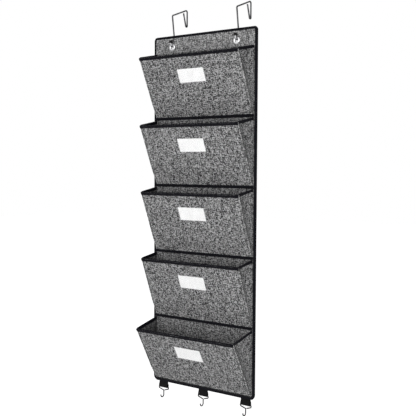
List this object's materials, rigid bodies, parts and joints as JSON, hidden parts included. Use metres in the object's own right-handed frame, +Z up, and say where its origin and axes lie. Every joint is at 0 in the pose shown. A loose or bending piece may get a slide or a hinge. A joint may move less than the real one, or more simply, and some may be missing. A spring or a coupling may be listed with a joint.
{
  "type": "over-the-door file organizer",
  "caption": "Stiff fabric panel that hangs over a door on wire hooks, with a column of open file pockets that fold flat and key hooks along its bottom.",
  "frame": {"origin": "on the back face of the panel, midway between the two grommets that it hangs by", "axes": "+Z up, +Y from the pockets towards the door, +X across the panel to the reader's right"},
  "size_m": [0.335, 0.1498, 1.0623],
  "materials": {
    "tweed": "black and white heathered linen-look fabric",
    "lining": "plain black woven lining",
    "board": "grey paperboard stiffener",
    "tape": "black grosgrain binding tape",
    "webbing": "black polypropylene webbing",
    "wire": "bright plated steel",
    "cap": "black moulded cap",
    "card": "blank white card",
    "window": "clear flexible sheet"
  },
  "bodies": {
    "root": {"panel_face": "tweed", "panel_board": "board", "panel_lining": "lining", "panel_binding": "tape", "seam_strip_1": "tape", "seam_strip_2": "tape", "seam_strip_3": "tape", "seam_strip_4": "tape", "grommet_left": "wire", "grommet_right": "wire", "grommet_washer_left": "wire", "grommet_washer_right": "wire", "webbing_loop_left": "webbing", "webbing_loop_centre": "webbing", "webbing_loop_right": "webbing", "pocket_1_gusset_left": "tweed", "pocket_1_gusset_right": "tweed", "pocket_2_gusset_left": "tweed", "pocket_2_gusset_right": "tweed", "pocket_3_gusset_left": "tweed", "pocket_3_gusset_right": "tweed", "pocket_4_gusset_left": "tweed", "pocket_4_gusset_right": "tweed", "pocket_5_gusset_left": "tweed", "pocket_5_gusset_right": "tweed"},
    "pocket_1_front": {"pocket_1_front_cover": "tweed", "pocket_1_front_board": "board", "pocket_1_rim_binding": "tape", "pocket_1_label_card": "card", "pocket_1_label_window": "window"},
    "pocket_2_front": {"pocket_2_front_cover": "tweed", "pocket_2_front_board": "board", "pocket_2_rim_binding": "tape", "pocket_2_label_card": "card", "pocket_2_label_window": "window"},
    "pocket_3_front": {"pocket_3_front_cover": "tweed", "pocket_3_front_board": "board", "pocket_3_rim_binding": "tape", "pocket_3_label_card": "card", "pocket_3_label_window": "window"},
    "pocket_4_front": {"pocket_4_front_cover": "tweed", "pocket_4_front_board": "board", "pocket_4_rim_binding": "tape", "pocket_4_label_card": "card", "pocket_4_label_window": "window"},
    "pocket_5_front": {"pocket_5_front_cover": "tweed", "pocket_5_front_board": "board", "pocket_5_rim_binding": "tape", "pocket_5_label_card": "card", "pocket_5_label_window": "window"},
    "hook_left": {"over_door_hook_left": "wire", "hook_cap_left": "cap"},
    "hook_right": {"over_door_hook_right": "wire", "hook_cap_right": "cap"},
    "key_hook_left": {"key_hook_left": "wire"},
    "key_hook_centre": {"key_hook_centre": "wire"},
    "key_hook_right": {"key_hook_right": "wire"}
  },
  "joints": [
    {"name": "pocket_1_fold", "type": "hinge", "parent": "root", "child": "pocket_1_front", "pos_m": [0, -0.0051, -0.1851], "axis": [-1, 0, 0], "range_deg": [0, 22.5], "deforming": ["pocket_1_gusset_left", "pocket_1_gusset_right"]},
    {"name": "pocket_2_fold", "type": "hinge", "parent": "root", "child": "pocket_2_front", "pos_m": [0, -0.0051, -0.3639], "axis": [-1, 0, 0], "range_deg": [0, 21.3], "deforming": ["pocket_2_gusset_left", "pocket_2_gusset_right"]},
    {"name": "pocket_3_fold", "type": "hinge", "parent": "root", "child": "pocket_3_front", "pos_m": [0, -0.0051, -0.5427], "axis": [-1, 0, 0], "range_deg": [0, 19.5], "deforming": ["pocket_3_gusset_left", "pocket_3_gusset_right"]},
    {"name": "pocket_4_fold", "type": "hinge", "parent": "root", "child": "pocket_4_front", "pos_m": [0, -0.0051, -0.7215], "axis": [-1, 0, 0], "range_deg": [0, 18.8], "deforming": ["pocket_4_gusset_left", "pocket_4_gusset_right"]},
    {"name": "pocket_5_fold", "type": "hinge", "parent": "root", "child": "pocket_5_front", "pos_m": [0, -0.0051, -0.9003], "axis": [-1, 0, 0], "range_deg": [0, 26.2], "deforming": ["pocket_5_gusset_left", "pocket_5_gusset_right"]},
    {"name": "hook_left_rock", "type": "hinge", "parent": "root", "child": "hook_left", "pos_m": [-0.1045, -0.00205, 0.002], "axis": [-1, 0, 0], "range_deg": [0, 8]},
    {"name": "hook_right_rock", "type": "hinge", "parent": "root", "child": "hook_right", "pos_m": [0.1045, -0.00205, 0.002], "axis": [-1, 0, 0], "range_deg": [0, 8]},
    {"name": "key_hook_left_swing", "type": "hinge", "parent": "root", "child": "key_hook_left", "pos_m": [-0.1365, 0.00285, -0.9252], "axis": [1, 0, 0], "range_deg": [-60, 60]},
    {"name": "key_hook_centre_swing", "type": "hinge", "parent": "root", "child": "key_hook_centre", "pos_m": [0, 0.00285, -0.9252], "axis": [1, 0, 0], "range_deg": [-60, 60]},
    {"name": "key_hook_right_swing", "type": "hinge", "parent": "root", "child": "key_hook_right", "pos_m": [0.1365, 0.00285, -0.9252], "axis": [1, 0, 0], "range_deg": [-60, 60]}
  ]
}
